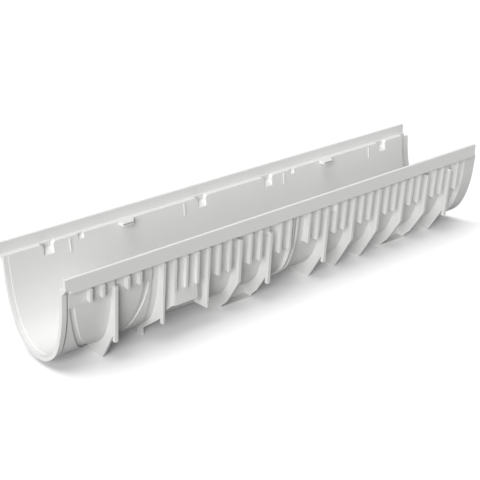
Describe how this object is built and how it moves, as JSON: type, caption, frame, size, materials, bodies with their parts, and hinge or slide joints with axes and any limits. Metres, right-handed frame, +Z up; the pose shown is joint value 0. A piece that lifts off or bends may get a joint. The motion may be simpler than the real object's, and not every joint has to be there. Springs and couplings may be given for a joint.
{
  "type": "channel drain",
  "caption": "Open drainage channel body with a round trough, ribbed sides, feet, a grating seat between the rims, a plug-in collar and a bell end.",
  "frame": {"origin": "under the middle of the overall length, on the plane that the feet stand on", "axes": "+X along the channel from the collar end to the bell end, +Y across it, +Z up"},
  "size_m": [1.012, 0.2, 0.184],
  "materials": {
    "body_plastic": "light grey injection-moulded polypropylene with a satin surface"
  },
  "bodies": {
    "root": {"channel_body": "body_plastic"}
  },
  "joints": []
}
